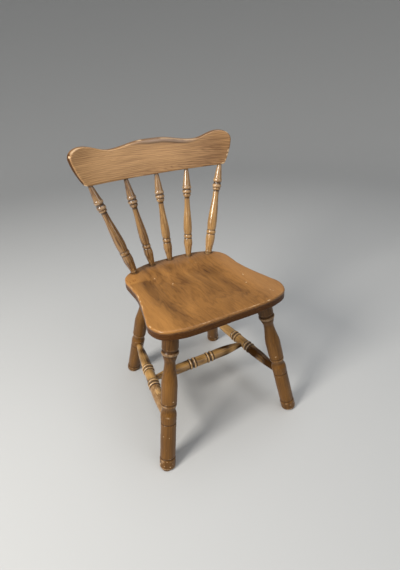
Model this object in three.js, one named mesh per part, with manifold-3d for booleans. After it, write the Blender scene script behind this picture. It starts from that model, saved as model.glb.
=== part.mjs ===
// A spindle-back kitchen chair: a scooped solid seat on four splayed turned legs, tied together by
// two side stretchers and a cross stretcher, with five turned spindles that carry a bent crest rail.
// Millimetres, +Z up. The chair faces -Y and is symmetric about X = 0.

import * as THREE from 'three';
import { ParametricGeometry } from 'three/addons/geometries/ParametricGeometry.js';
import { mergeVertices } from 'three/addons/utils/BufferGeometryUtils.js';
import Module from 'manifold-3d';

const wasm = await Module();
wasm.setup();

// Fits
const CLEARANCE = 0.3; // between a tenon and its bore, and between a shoulder and its seat

// Seat
const SEAT_HEIGHT = 440; // top plane of the board, at Y = 0
const SEAT_FALL = 0.061; // drop of the board for each millimetre towards the back
const SEAT_THICKNESS = 29;
const SEAT_TOP_ROUND = 5.5;
const SEAT_BOTTOM_ROUND = 3.5;
const SEAT_HALF_OUTLINE = [
  [0, -210.5], [75, -211], [135, -205.5], [180, -186], [198, -146], [190, -97], [179, -37], [172, 20],
  [173.5, 80], [174, 112], [166, 141], [138, 169], [95, 191], [45, 198], [0, 199],
];
const SCOOP_DEPTH = 8;
const SCOOP_FLOOR_HALF = 92; // half width of the scoop's floor
const SCOOP_RIM_HALF = 152; // half width at which its side walls reach the board's top
const SCOOP_BACK_FLOOR = 52; // Y where the back wall of the scoop starts
const SCOOP_BACK_RIM = 122; // Y where it reaches the shelf that carries the spindles
const SCOOP_FRONT_FLOOR = -60; // Y from which the floor rises to the front edge
const SCOOP_FRONT_RIM = -228;
const SADDLE_RIDGE = 2.2; // height of the low ridge between the two thigh hollows
const SADDLE_RIDGE_HALF = 48;

// Legs: places of the axes beside the middle plane
const FRONT_SOCKET = { side: 138.4, depth: -139.4 }; // at the seat's underside
const FRONT_FOOT = { side: 217.6, depth: -214.7 }; // at the floor
const REAR_SOCKET = { side: 106.3, depth: 113.3 };
const REAR_FOOT = { side: 173.2, depth: 214.7 };
const LEG_BLOCK_RADIUS = 22.2;
const LEG_RING_RADIUS = 23.2;
const LEG_NECK_RADIUS = 14.6;
const LEG_BALUSTER_RADIUS = 22;
const LEG_COVE_RADIUS = 18.3;
const LEG_BULB_RADIUS = 22.2;
const LEG_SHAFT_RADIUS = 21.6;
const LEG_GROOVE_DEPTH = 1.8;
const LEG_GROOVE_HALF = 3; // half width of a groove
const LEG_FOOT_RADIUS = 22.5;
const LEG_FOOT_ROUND = 5;
const LEG_RING_PLACE = 71.5; // places of the turned shapes, measured down from the seat
const LEG_RING_HALF = 6.5;
const LEG_NECK_PLACE = 101;
const LEG_BALUSTER_PLACE = 170;
const LEG_COLLAR_GROOVE = 222.5;
const LEG_COVE_PLACE = 241;
const LEG_BULB_PLACE = 260;
const LEG_BULB_GROOVE = 283.5;
const LEG_FOOT_GROOVE = 397.5;
const LEG_TENON_RADIUS = 12.5;
const LEG_TENON_LENGTH = 15;

// Stretchers: an end swells from its radius to the full one over the length called swell
const STRETCHER_HEIGHT = 140; // axes of the side stretchers above the floor, where they meet the legs
const CROSS_PLACE = 0.524; // share of a side stretcher, from the rear, at which the cross one meets it
const STRETCHER_RADIUS = 16.3;
const STRETCHER_BEAD_RADIUS = 18.5;
const STRETCHER_GROOVE_RADIUS = 14.8;
const STRETCHER_GROOVE_SIDE = 3; // length of the slope from the bar down into a groove
const STRETCHER_BEAD_WIDTH = 8;
const STRETCHER_BEAD_GAP = 6.5; // valley between the two beads of a pair
const SIDE_STRETCHER = { endRadius: 9.6, swell: 100, pairPlace: 34.5, carrierRadius: LEG_BULB_RADIUS };
const CROSS_STRETCHER = { endRadius: 8.8, swell: 70, pairPlace: 32, carrierRadius: STRETCHER_RADIUS };

// Crest rail: a bent board, drawn on its front face with x from the middle and h up the board
const CREST_BOTTOM = 701; // height of the lower edge at the middle
const CREST_MIDDLE_Y = 227.9; // place of the board's middle surface there
const CREST_BEND_RADIUS = 814; // of the middle surface, seen from above
const CREST_LEAN = THREE.MathUtils.degToRad(11.75);
const CREST_THICKNESS = 20;
const CREST_ROUND = 4;
const CREST_ARCH = 3; // rise of the lower edge at its ends
const CREST_HALF_WIDTH = 244;
const CREST_LOBE_INSET = 37; // from the widest place of the board in to the top of a lobe
const CREST_CORNER_INSET = 24.5; // and in to the lower corner
const CREST_HUMP = { x: 22, h: 98.5 }; // where the middle hump starts to fall
const CREST_DIP = { x: 128, h: 85.4 };
const CREST_LOBE = { x: CREST_HALF_WIDTH - CREST_LOBE_INSET, h: 103.8 };
const CREST_END = { x: CREST_HALF_WIDTH, h: 75 }; // widest place of the board
const CREST_CORNER = { x: CREST_HALF_WIDTH - CREST_CORNER_INSET, h: 8 }; // lower corner of an end
const CREST_CORNER_ROUND = 3; // how far in from the corner its rounding is drawn
const CREST_END_BOW = 7; // how far out the slanting end is drawn at its middle
const CREST_SHOULDER = { x: 2, h: 17 }; // pull of the widest place on the curve up to the lobe
const CREST_LOBE_REACH = 22; // pull of the lobe's top on the same curve
const CREST_SPINE_H = 50; // middle line of the board, to which its faces are drawn

// Spindles: places of the axes on the seat and under the crest rail, beside the middle plane
const END_POST_INSET = 40.4; // from the widest place of the crest rail in to an end post
const END_POST_PLACE = { seatX: 130.6, seatY: 153.3, crestX: CREST_HALF_WIDTH - END_POST_INSET };
const INNER_SPINDLE_PLACE = { seatX: 64.6, seatY: 172.3, crestX: 96.9 };
const MIDDLE_SPINDLE_PLACE = { seatX: 0, seatY: 180.7, crestX: 0 };
const SPINDLE = {
  // radii, from the seat upwards
  seat: 8.6, shoulder: 14.3, groove: 12, bead: 13.8, swell: 13.8,
  neck: 8.2, ringGroove: 11.8, ring: 14.6, crest: 6.1,
  // places measured up from the seat
  shoulderPlace: 42, beadPlace: 66.5, swellPlace: 90,
  // places measured down from the crest rail
  neckPlace: 88, lowerRing: 69, upperRing: 57,
};
const POST = {
  seat: 10.6, shoulder: 15.4, groove: 13.8, bead: 15.6, swell: 15.4,
  neck: 9.2, ringGroove: 11.8, ring: 14.2, crest: 6.6,
  shoulderPlace: 45, beadPlace: 71.5, swellPlace: 100,
  neckPlace: 82, lowerRing: 67, upperRing: 50,
};
const RING_HALF = 6; // half width of a ring or bead on the spindles
const RING_FLARE = 1.5; // share of that half width over which the turning widens below the rings
const RING_STEP = 0.8; // rise of the turning beside the pair of rings
const BEAD_STEP = 1; // rise of the shoulder beside the bead's groove
const BEAD_STEP_WIDTH = 2;
const COLLAR_PLACE = 4; // where a post's collar starts, clear of the board that it meets askew
const COLLAR_WIDTH = 5;
const COLLAR_RISE = 1;
const SPINDLE_SEAT_DEPTH = 14; // how far an end goes into the seat
const SPINDLE_CREST_DEPTH = 20; // how far an end goes into the crest rail

// Facets
const SPINDLE_FACETS = 12;
const STRETCHER_FACETS = 12;
const LEG_FACETS = 14;
const SEAT_STEPS = 60; // around the outline
const CREST_STEPS = 12; // along half of one long edge
const CREST_END_STEPS = 5; // along each curve of an end

// Finishes
const FINISHES = {
  seat: new THREE.MeshStandardMaterial({ color: 0x8f5726, roughness: 0.42, metalness: 0 }),
  crest: new THREE.MeshStandardMaterial({ color: 0x8f6136, roughness: 0.45, metalness: 0 }),
  spindle: new THREE.MeshStandardMaterial({ color: 0x9a652d, roughness: 0.35, metalness: 0 }),
  leg: new THREE.MeshStandardMaterial({ color: 0x6f4722, roughness: 0.45, metalness: 0 }),
  stretcher: new THREE.MeshStandardMaterial({ color: 0x8d6130, roughness: 0.4, metalness: 0 }),
};

// Solids

// Turns a closed geometry into a solid: shared corners are merged and empty triangles dropped.
function solidOf(geometry) {
  const bare = geometry.clone();
  bare.deleteAttribute('normal');
  bare.deleteAttribute('uv');
  const merged = mergeVertices(bare, 1e-3);
  const index = merged.index.array;
  const corners = [];
  for (let i = 0; i < index.length; i += 3) {
    const [a, b, c] = [index[i], index[i + 1], index[i + 2]];
    if (a !== b && b !== c && c !== a) {
      corners.push(a, b, c);
    }
  }
  const mesh = new wasm.Mesh({
    numProp: 3,
    vertProperties: new Float32Array(merged.attributes.position.array),
    triVerts: new Uint32Array(corners),
  });
  return new wasm.Manifold(mesh);
}

function geometryOf(solid) {
  const mesh = solid.getMesh();
  const geometry = new THREE.BufferGeometry();
  geometry.setAttribute('position', new THREE.BufferAttribute(mesh.vertProperties, 3));
  geometry.setIndex(new THREE.BufferAttribute(mesh.triVerts, 1));
  geometry.computeVertexNormals();
  return geometry;
}

// A mesh whose own frame is the given placement, from a solid made in the chair's frame.
function pieceOf(name, solid, finish, placement) {
  const geometry = geometryOf(solid).applyMatrix4(placement.clone().invert());
  const piece = new THREE.Mesh(geometry, finish);
  piece.name = name;
  piece.applyMatrix4(placement);
  return piece;
}

// An axis from one point to another, with the placement that puts the Y axis on it.
function axisBetween(from, to) {
  const direction = to.clone().sub(from).normalize();
  const turn = new THREE.Quaternion().setFromUnitVectors(new THREE.Vector3(0, 1, 0), direction);
  const placement = new THREE.Matrix4().compose(from, turn, new THREE.Vector3(1, 1, 1));
  return { from, to, length: from.distanceTo(to), placement };
}

function pointOn(axis, share) {
  return axis.from.clone().lerp(axis.to, share);
}

// Turned work

// A turned profile: distances along the axis and radii, grown one shape at a time.
class Turning {
  constructor(start, radius) {
    this.points = [new THREE.Vector2(radius, start)];
  }

  grow(to, radius, steps, shape) {
    const last = this.points[this.points.length - 1];
    for (let i = 1; i <= steps; i += 1) {
      const t = i / steps;
      const eased = last.x + (radius - last.x) * shape(t);
      this.points.push(new THREE.Vector2(eased, THREE.MathUtils.lerp(last.y, to, t)));
    }
    return this;
  }

  // A straight taper.
  line(to, radius) {
    return this.grow(to, radius, 1, (t) => t);
  }

  // An S-shaped change of radius.
  sweep(to, radius, steps) {
    return this.grow(to, radius, steps, (t) => (1 - Math.cos(Math.PI * t)) / 2);
  }

  // A change of radius that starts steep and ends level.
  swell(to, radius, steps) {
    return this.grow(to, radius, steps, (t) => Math.sin(Math.PI * t / 2));
  }

  // A change of radius that starts level and ends steep.
  droop(to, radius, steps) {
    return this.grow(to, radius, steps, (t) => 1 - Math.cos(Math.PI * t / 2));
  }

  // A V-groove between two radii, or between a radius and the same again.
  groove(place, half, depth, next) {
    const { x } = this.points[this.points.length - 1];
    return this.line(place - half, x).line(place, x - depth).line(place + half, next);
  }

  // A round bead up to a peak radius and down to the next one.
  bead(to, radius, peak) {
    const middle = (this.points[this.points.length - 1].y + to) / 2;
    return this.swell(middle, peak, 2).droop(to, radius, 2);
  }

  // The same shapes again in reverse, for a profile that ends at its middle.
  mirrored() {
    const back = this.points.slice(0, -1).reverse();
    this.points.push(...back.map((point) => new THREE.Vector2(point.x, -point.y)));
    return this;
  }

  // The finished solid, placed on its axis.
  solid(facets, placement) {
    const first = this.points[0];
    const last = this.points[this.points.length - 1];
    const outline = [new THREE.Vector2(0, first.y), ...this.points, new THREE.Vector2(0, last.y)];
    return solidOf(new THREE.LatheGeometry(outline, facets).applyMatrix4(placement));
  }
}

// A plain round bar along a placement's Y axis, for bores and tenons.
function bar(radius, from, to, facets, placement) {
  return new Turning(from, radius).line(to, radius).solid(facets, placement);
}

// Seat

function seatTop(y) {
  return SEAT_HEIGHT - SEAT_FALL * y;
}

function seatUnderside(y) {
  return seatTop(y) - SEAT_THICKNESS;
}

// Depth of the scoop: side walls times back wall times front slope, less the middle ridge.
function scoop(x, y) {
  const { smoothstep } = THREE.MathUtils;
  const across = 1 - smoothstep(Math.abs(x), SCOOP_FLOOR_HALF, SCOOP_RIM_HALF);
  const back = 1 - smoothstep(y, SCOOP_BACK_FLOOR, SCOOP_BACK_RIM);
  const front = smoothstep(y, SCOOP_FRONT_RIM, SCOOP_FRONT_FLOOR);
  const ridge = SADDLE_RIDGE * (1 - smoothstep(Math.abs(x), 0, SADDLE_RIDGE_HALF));
  return (SCOOP_DEPTH - ridge) * across * back * front;
}

function seatOutline() {
  const right = SEAT_HALF_OUTLINE.map(([x, y]) => new THREE.Vector3(x, y, 0));
  const left = SEAT_HALF_OUTLINE.slice(1, -1).reverse().map(([x, y]) => new THREE.Vector3(-x, y, 0));
  return new THREE.CatmullRomCurve3([...right, ...left], true, 'centripetal');
}

// A quarter-round edge: how far in and how far down each step of it lies.
function quarterRound(radius, turns) {
  const angles = turns.map((turn) => THREE.MathUtils.degToRad(turn));
  return angles.map((angle) => ({
    inset: radius * (1 - Math.sin(angle)),
    drop: radius * (1 - Math.cos(angle)),
  }));
}

// The seat is drawn as rings, from the middle of its top over the edge to the middle of its underside.
function seatRings() {
  const top = [0, 0.22, 0.4, 0.54, 0.66, 0.77, 0.87, 0.95].map((share) => (
    { share, inset: SEAT_TOP_ROUND, drop: 0 }));
  const upper = quarterRound(SEAT_TOP_ROUND, [0, 30, 60, 90]).map((step) => ({ share: 1, ...step }));
  const lower = quarterRound(SEAT_BOTTOM_ROUND, [90, 45, 0]).map(({ inset, drop }) => (
    { share: 1, inset, drop: SEAT_THICKNESS - drop }));
  const middle = { share: 0, inset: SEAT_BOTTOM_ROUND, drop: SEAT_THICKNESS };
  return [...top, ...upper, ...lower, middle];
}

function seatBoard() {
  const outline = seatOutline();
  const rings = seatRings();
  const steps = rings.length - 1;
  const surface = (around, down, target) => {
    const { share, inset, drop } = rings[Math.round(down * steps)];
    const edge = outline.getPointAt((1 - around) % 1);
    const tangent = outline.getTangentAt((1 - around) % 1);
    const x = share * (edge.x - tangent.y * inset);
    const y = share * (edge.y + tangent.x * inset);
    const carved = drop < SEAT_TOP_ROUND ? scoop(x, y) : 0;
    target.set(x, y, seatTop(y) - drop - carved);
  };
  return solidOf(new ParametricGeometry(surface, SEAT_STEPS, steps));
}

// Legs

function legAxis(side, socket, foot) {
  const top = new THREE.Vector3(side * socket.side, socket.depth, seatUnderside(socket.depth));
  return axisBetween(top, new THREE.Vector3(side * foot.side, foot.depth, 0));
}

function atHeight(axis, height) {
  return pointOn(axis, 1 - height / axis.from.z);
}

// One pattern for all four legs, measured down from the seat. The rear ones are only cut shorter.
function legTurning(length) {
  const ringSide = LEG_RING_RADIUS - 2 * LEG_GROOVE_DEPTH;
  const soleRadius = LEG_FOOT_RADIUS - LEG_FOOT_ROUND;
  return new Turning(-LEG_TENON_LENGTH, LEG_BLOCK_RADIUS)
    .line(LEG_RING_PLACE - 2 * LEG_RING_HALF, LEG_BLOCK_RADIUS)
    .line(LEG_RING_PLACE - LEG_RING_HALF, ringSide)
    .bead(LEG_RING_PLACE + LEG_RING_HALF, ringSide, LEG_RING_RADIUS)
    .sweep(LEG_NECK_PLACE, LEG_NECK_RADIUS, 3)
    .sweep(LEG_BALUSTER_PLACE, LEG_BALUSTER_RADIUS, 5)
    .droop(LEG_COLLAR_GROOVE - LEG_GROOVE_HALF, LEG_SHAFT_RADIUS, 2)
    .groove(LEG_COLLAR_GROOVE, LEG_GROOVE_HALF, LEG_GROOVE_DEPTH, LEG_SHAFT_RADIUS)
    .sweep(LEG_COVE_PLACE, LEG_COVE_RADIUS, 2)
    .sweep(LEG_BULB_PLACE, LEG_BULB_RADIUS, 2)
    .droop(LEG_BULB_GROOVE - LEG_GROOVE_HALF, LEG_SHAFT_RADIUS, 2)
    .groove(LEG_BULB_GROOVE, LEG_GROOVE_HALF, LEG_GROOVE_DEPTH, LEG_SHAFT_RADIUS)
    .groove(LEG_FOOT_GROOVE, LEG_GROOVE_HALF, LEG_GROOVE_DEPTH, LEG_SHAFT_RADIUS)
    .line(LEG_FOOT_GROOVE + 2 * LEG_GROOVE_HALF, LEG_FOOT_RADIUS)
    .line(length - LEG_FOOT_ROUND, LEG_FOOT_RADIUS)
    .droop(length, soleRadius, 2)
    .line(length + LEG_FOOT_RADIUS / 2, soleRadius);
}

// A block that reaches from a plane parallel to the seat's underside up past the whole chair.
function aboveUnderside(gap) {
  const block = new THREE.BoxGeometry(2 * SEAT_HEIGHT, 2 * SEAT_HEIGHT, SEAT_HEIGHT);
  block.translate(0, 0, SEAT_HEIGHT / 2 - gap);
  block.rotateX(-Math.atan(SEAT_FALL));
  block.translate(0, 0, seatUnderside(0));
  return solidOf(block);
}

function belowFloor() {
  const block = new THREE.BoxGeometry(2 * SEAT_HEIGHT, 2 * SEAT_HEIGHT, SEAT_HEIGHT);
  return solidOf(block.translate(0, 0, -SEAT_HEIGHT / 2));
}

// Stretchers

// A slim-ended bar with a pair of beads on each side of its middle.
function stretcherTurning(length, { endRadius, swell, pairPlace, carrierRadius }) {
  const stub = carrierRadius + STRETCHER_GROOVE_SIDE - length / 2;
  const side = STRETCHER_GROOVE_SIDE;
  const groove = STRETCHER_GROOVE_RADIUS;
  const firstBead = -pairPlace - STRETCHER_BEAD_GAP / 2 - STRETCHER_BEAD_WIDTH;
  const secondBead = -pairPlace + STRETCHER_BEAD_GAP / 2;
  return new Turning(CLEARANCE - length / 2, endRadius)
    .line(stub, endRadius)
    .swell(Math.min(stub + swell, firstBead - 2 * side), STRETCHER_RADIUS, 5)
    .line(firstBead - side, STRETCHER_RADIUS)
    .line(firstBead, groove)
    .bead(firstBead + STRETCHER_BEAD_WIDTH, groove, STRETCHER_BEAD_RADIUS)
    .line(secondBead, groove)
    .bead(secondBead + STRETCHER_BEAD_WIDTH, groove, STRETCHER_BEAD_RADIUS)
    .line(secondBead + STRETCHER_BEAD_WIDTH + side, STRETCHER_RADIUS)
    .line(0, STRETCHER_RADIUS)
    .mirrored();
}

// The bore for a stretcher's end, from the carrier's axis out past its surface.
function stretcherBore(axis, atStart, { endRadius, carrierRadius }) {
  const reach = 2 * carrierRadius;
  const from = atStart ? 0 : axis.length - reach;
  return bar(endRadius + CLEARANCE, from, from + reach, STRETCHER_FACETS, axis.placement);
}

function stretcherSolid(axis, pattern) {
  const middle = new THREE.Matrix4().makeTranslation(0, axis.length / 2, 0);
  const placement = axis.placement.clone().multiply(middle);
  return stretcherTurning(axis.length, pattern).solid(STRETCHER_FACETS, placement);
}

// Spindles

function spindleAxis(side, { seatX, seatY, crestX }) {
  const base = new THREE.Vector3(side * seatX, seatY, seatTop(seatY));
  return axisBetween(base, crestPoint(side * crestX, crestBottom(crestX), 0));
}

// The part of a spindle from the seat to its swelling: a vase and a bead.
function spindleFoot(turning, pattern) {
  const ring = pattern.beadPlace - RING_HALF;
  return turning
    .line(pattern.shoulderPlace, pattern.shoulder)
    .droop(ring - BEAD_STEP_WIDTH, pattern.groove + BEAD_STEP, 3)
    .line(ring, pattern.groove)
    .bead(ring + 2 * RING_HALF, pattern.groove, pattern.bead)
    .swell(pattern.swellPlace, pattern.swell, 3);
}

// The part above it, measured down from the crest rail: a neck, two rings and a cone.
function spindleHead(turning, pattern, length) {
  const lower = length - pattern.lowerRing;
  const upper = length - pattern.upperRing;
  return turning
    .sweep(length - pattern.neckPlace, pattern.neck, 4)
    .swell(lower - RING_FLARE * RING_HALF, pattern.ringGroove + RING_STEP, 2)
    .line(lower - RING_HALF, pattern.ringGroove)
    .bead(lower + RING_HALF, pattern.ringGroove, pattern.ring)
    .line(upper - RING_HALF, pattern.ringGroove)
    .bead(upper + RING_HALF, pattern.ringGroove + RING_STEP, pattern.ring)
    .line(length, pattern.crest)
    .line(length + SPINDLE_CREST_DEPTH - CLEARANCE, pattern.crest);
}

function spindleTurning(length) {
  const turning = new Turning(CLEARANCE - SPINDLE_SEAT_DEPTH, SPINDLE.seat).line(COLLAR_PLACE, SPINDLE.seat);
  return spindleHead(spindleFoot(turning, SPINDLE), SPINDLE, length);
}

// An end post is thicker and has a small collar at the seat.
function postTurning(length) {
  const turning = new Turning(CLEARANCE - SPINDLE_SEAT_DEPTH, POST.seat)
    .line(COLLAR_PLACE, POST.seat)
    .bead(COLLAR_PLACE + COLLAR_WIDTH, POST.seat, POST.seat + COLLAR_RISE);
  return spindleHead(spindleFoot(turning, POST), POST, length);
}

function seatSpindleBore(axis, radius) {
  return bar(radius + CLEARANCE, -SPINDLE_SEAT_DEPTH, SPINDLE_SEAT_DEPTH, SPINDLE_FACETS, axis.placement);
}

function crestSpindleBore(axis, radius) {
  const end = axis.length + SPINDLE_CREST_DEPTH;
  return bar(radius + CLEARANCE, axis.length - SPINDLE_CREST_DEPTH, end, SPINDLE_FACETS, axis.placement);
}

// Crest rail

// The point of the board at x and h on its front face and t behind the middle surface.
function crestPoint(x, h, t) {
  const angle = Math.asin(x / (CREST_BEND_RADIUS - CREST_THICKNESS / 2));
  const radius = CREST_BEND_RADIUS + t;
  const y = CREST_MIDDLE_Y - CREST_BEND_RADIUS + radius * Math.cos(angle);
  return new THREE.Vector3(
    radius * Math.sin(angle),
    y + h * Math.sin(CREST_LEAN),
    CREST_BOTTOM + h * Math.cos(CREST_LEAN),
  );
}

function crestBottom(x) {
  return CREST_ARCH * (x / CREST_LOBE.x) ** 2;
}

// Upper edge between the middle and a lobe: a level hump, a dip and the lobe's top.
function crestTop(x) {
  const wave = (from, to) => {
    const t = THREE.MathUtils.clamp((x - from.x) / (to.x - from.x), 0, 1);
    return THREE.MathUtils.lerp(from.h, to.h, (1 - Math.cos(Math.PI * t)) / 2);
  };
  return x < CREST_DIP.x ? wave(CREST_HUMP, CREST_DIP) : wave(CREST_DIP, CREST_LOBE);
}

// One end, from the lower edge round the corner, up the slant and over the lobe.
function crestEnd() {
  const { x, h } = CREST_CORNER;
  const slantX = (x + CREST_END.x) / 2 + CREST_END_BOW;
  const shoulder = [CREST_END.x + CREST_SHOULDER.x, CREST_END.h + CREST_SHOULDER.h];
  const path = new THREE.Path();
  path.moveTo(CREST_LOBE.x, CREST_ARCH);
  path.quadraticCurveTo(x - CREST_CORNER_ROUND, CREST_ARCH, x, h);
  path.quadraticCurveTo(slantX, (h + CREST_END.h) / 2, CREST_END.x, CREST_END.h);
  path.bezierCurveTo(...shoulder, CREST_LOBE.x + CREST_LOBE_REACH, CREST_LOBE.h, CREST_LOBE.x, CREST_LOBE.h);
  return path.getPoints(CREST_END_STEPS);
}

// The whole outline, once round: lower edge, right end, upper edge and left end.
function crestOutline() {
  const along = [];
  for (let i = 0; i < CREST_STEPS; i += 1) {
    along.push(CREST_LOBE.x * i / CREST_STEPS);
  }
  const right = [
    ...along.map((x) => new THREE.Vector2(x, crestBottom(x))),
    ...crestEnd(),
    ...along.toReversed().map((x) => new THREE.Vector2(x, crestTop(x))),
  ];
  const left = right.slice(1, -1).reverse().map((point) => new THREE.Vector2(-point.x, point.y));
  return [...right, ...left];
}

// The board is drawn in strips from the middle line of its front over the edge to the same at its back.
function crestBoard() {
  const outline = crestOutline();
  const half = CREST_THICKNESS / 2;
  const front = quarterRound(CREST_ROUND, [0, 45, 90]).map(({ inset, drop }) => (
    { inset, t: drop - half }));
  const back = front.toReversed().map(({ inset, t }) => ({ inset, t: -t }));
  const strips = [{ inset: null, t: -half }, ...front, ...back, { inset: null, t: half }];
  const surface = (around, over, target) => {
    const edge = outline[Math.round((1 - around) * outline.length) % outline.length];
    const { inset, t } = strips[Math.round(over * (strips.length - 1))];
    const spineX = THREE.MathUtils.clamp(edge.x, -CREST_LOBE.x, CREST_LOBE.x);
    const spine = new THREE.Vector2(spineX, CREST_SPINE_H);
    const place = inset === null ? spine : edge.clone().add(spine.sub(edge).setLength(inset));
    target.copy(crestPoint(place.x, place.y, t));
  };
  return solidOf(new ParametricGeometry(surface, outline.length, strips.length - 1));
}

// Assembly

const chair = new THREE.Group();
let seat = seatBoard();
let crest = crestBoard();

const legs = [];
for (const [row, socket, foot] of [['front', FRONT_SOCKET, FRONT_FOOT], ['rear', REAR_SOCKET, REAR_FOOT]]) {
  for (const [hand, side] of [['left', -1], ['right', 1]]) {
    const axis = legAxis(side, socket, foot);
    const body = legTurning(axis.length).solid(LEG_FACETS, axis.placement);
    const tenon = bar(LEG_TENON_RADIUS, CLEARANCE - LEG_TENON_LENGTH, CLEARANCE, LEG_FACETS, axis.placement);
    const bore = bar(
      LEG_TENON_RADIUS + CLEARANCE, -LEG_TENON_LENGTH, LEG_TENON_LENGTH, LEG_FACETS, axis.placement);
    seat = seat.subtract(bore);
    const trimmed = body.subtract(aboveUnderside(CLEARANCE)).add(tenon).subtract(belowFloor());
    legs.push({ name: `${row}_leg_${hand}`, row, hand, axis, solid: trimmed });
  }
}

const sideAxes = {};
for (const hand of ['left', 'right']) {
  const pair = legs.filter((leg) => leg.hand === hand);
  const [front, rear] = ['front', 'rear'].map((row) => pair.find((leg) => leg.row === row));
  const axis = axisBetween(atHeight(rear.axis, STRETCHER_HEIGHT), atHeight(front.axis, STRETCHER_HEIGHT));
  rear.solid = rear.solid.subtract(stretcherBore(axis, true, SIDE_STRETCHER));
  front.solid = front.solid.subtract(stretcherBore(axis, false, SIDE_STRETCHER));
  sideAxes[hand] = axis;
}

const crossAxis = axisBetween(pointOn(sideAxes.left, CROSS_PLACE), pointOn(sideAxes.right, CROSS_PLACE));
for (const hand of ['left', 'right']) {
  const axis = sideAxes[hand];
  const bore = stretcherBore(crossAxis, hand === 'left', CROSS_STRETCHER);
  const solid = stretcherSolid(axis, SIDE_STRETCHER).subtract(bore);
  chair.add(pieceOf(`side_stretcher_${hand}`, solid, FINISHES.stretcher, axis.placement));
}
const crossSolid = stretcherSolid(crossAxis, CROSS_STRETCHER);
chair.add(pieceOf('cross_stretcher', crossSolid, FINISHES.stretcher, crossAxis.placement));

function addSpindle(name, side, place, turning, radii) {
  const axis = spindleAxis(side, place);
  seat = seat.subtract(seatSpindleBore(axis, radii.seat));
  crest = crest.subtract(crestSpindleBore(axis, radii.crest));
  const solid = turning(axis.length).solid(SPINDLE_FACETS, axis.placement);
  chair.add(pieceOf(name, solid, FINISHES.spindle, axis.placement));
}

for (const [hand, side] of [['left', -1], ['right', 1]]) {
  addSpindle(`end_post_${hand}`, side, END_POST_PLACE, postTurning, POST);
  addSpindle(`spindle_${hand}`, side, INNER_SPINDLE_PLACE, spindleTurning, SPINDLE);
}
addSpindle('spindle_middle', 1, MIDDLE_SPINDLE_PLACE, spindleTurning, SPINDLE);

for (const leg of legs) {
  chair.add(pieceOf(leg.name, leg.solid, FINISHES.leg, leg.axis.placement));
}
const seatPlace = new THREE.Matrix4().makeTranslation(0, 0, seatUnderside(0));
const crestPlace = new THREE.Matrix4().setPosition(crestPoint(0, 0, 0));
chair.add(pieceOf('seat', seat, FINISHES.seat, seatPlace));
chair.add(pieceOf('crest_rail', crest, FINISHES.crest, crestPlace));

// The origin is on the floor at the middle of the chair's width and depth.
const bounds = new THREE.Box3().setFromObject(chair, true);
chair.position.y = -(bounds.min.y + bounds.max.y) / 2;

export default chair;
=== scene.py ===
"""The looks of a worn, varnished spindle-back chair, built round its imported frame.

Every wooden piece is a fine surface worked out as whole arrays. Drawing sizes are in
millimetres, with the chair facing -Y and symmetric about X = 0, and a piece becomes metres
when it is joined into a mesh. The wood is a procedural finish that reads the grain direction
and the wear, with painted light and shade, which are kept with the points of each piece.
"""

import itertools
import math

import bpy
import numpy as np
from mathutils import Matrix, Vector


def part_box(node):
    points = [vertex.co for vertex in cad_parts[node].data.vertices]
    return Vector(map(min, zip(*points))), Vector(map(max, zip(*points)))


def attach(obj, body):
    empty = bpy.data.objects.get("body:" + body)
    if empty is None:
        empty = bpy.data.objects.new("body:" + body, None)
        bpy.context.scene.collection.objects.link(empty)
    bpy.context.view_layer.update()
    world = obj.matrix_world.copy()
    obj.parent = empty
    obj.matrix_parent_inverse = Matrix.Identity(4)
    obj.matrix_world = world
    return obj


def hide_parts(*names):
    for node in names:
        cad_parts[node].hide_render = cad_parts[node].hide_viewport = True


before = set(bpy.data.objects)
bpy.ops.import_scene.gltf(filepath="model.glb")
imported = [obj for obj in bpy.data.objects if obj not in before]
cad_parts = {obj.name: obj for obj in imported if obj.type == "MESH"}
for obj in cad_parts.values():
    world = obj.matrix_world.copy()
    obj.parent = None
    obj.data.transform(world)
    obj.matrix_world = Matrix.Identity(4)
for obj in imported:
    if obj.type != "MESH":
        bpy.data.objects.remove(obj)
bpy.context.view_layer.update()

MM = 0.001
WELD = 6  # decimals of a metre to which points are the same
CLEARANCE = 0.3  # between a shoulder and its seat

# Camera
PHOTO_SIZE = (400, 570)
PHOTO_CENTRE = (200.0, 284.5)  # where the view direction meets the photo
FOCAL_PIXELS = 365.5
CAMERA_PLACE = (-392.6, -829.2, 981.5)
CAMERA_YAW = 26.333
CAMERA_PITCH = -31.249
CAMERA_ROLL = -2.559
SENSOR = 36.0

# Seat
SEAT_HEIGHT = 440.0
SEAT_FALL = 0.061
SEAT_THICKNESS = 29.0
SEAT_TOP_ROUND = 5.5
SEAT_BOTTOM_ROUND = 3.5
SEAT_HALF_OUTLINE = (
    (0, -210.5), (75, -211), (135, -205.5), (180, -186), (198, -146), (190, -97), (179, -37), (172, 20),
    (173.5, 80), (174, 112), (166, 141), (138, 169), (95, 191), (45, 198), (0, 199),
)
SCOOP_DEPTH = 8.0
SCOOP_SIDES = (92, 152)
SCOOP_BACK = (52, 122)
SCOOP_FRONT = (-228, -60)
SADDLE_RIDGE = 2.2
SADDLE_RIDGE_HALF = 48

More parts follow.
